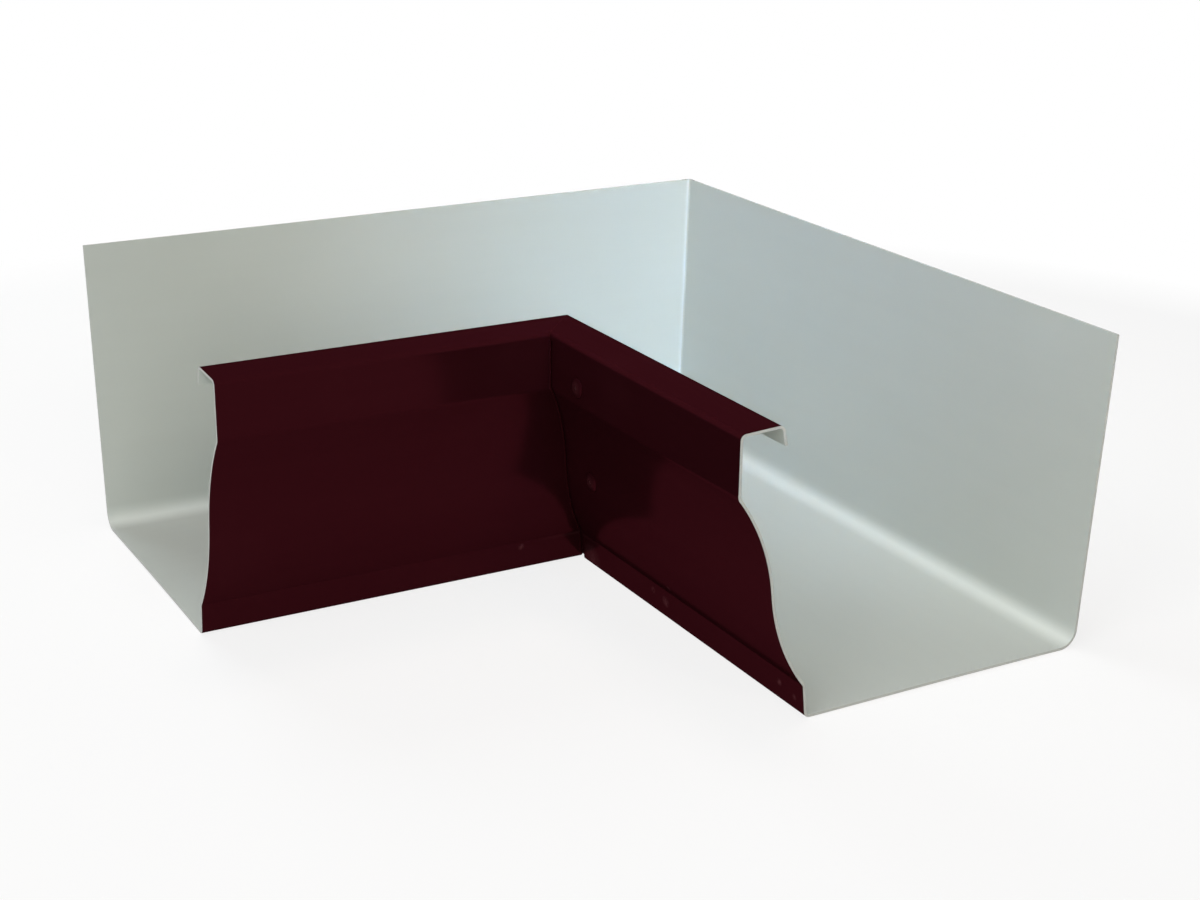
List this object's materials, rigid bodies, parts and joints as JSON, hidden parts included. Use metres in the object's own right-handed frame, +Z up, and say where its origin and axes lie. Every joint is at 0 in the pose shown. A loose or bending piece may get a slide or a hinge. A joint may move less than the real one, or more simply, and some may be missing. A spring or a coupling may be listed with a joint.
{
  "type": "gutter corner",
  "caption": "Inside corner for an ogee-fronted eaves gutter, folded from painted sheet, with a lapped and riveted mitre.",
  "frame": {"origin": "centre of the bounding box at the underside of the floor", "axes": "+Z up; the legs run along -X and -Y from the back corner, which is at +X and +Y, so the shaped front faces -X and -Y"},
  "size_m": [0.2402, 0.2402, 0.1001],
  "materials": {
    "painted_sheet": "gloss maroon coil coat outside, pale grey-green wash coat inside, bare aluminium at the cut edges",
    "painted_rivet": "gloss maroon paint over aluminium",
    "rivet_pin": "drawn wire, snapped end"
  },
  "bodies": {
    "root": {"gutter_sheet": "painted_sheet", "upper_rivet": "painted_rivet", "upper_rivet_pin": "rivet_pin", "lower_rivet": "painted_rivet", "lower_rivet_pin": "rivet_pin"}
  },
  "joints": []
}
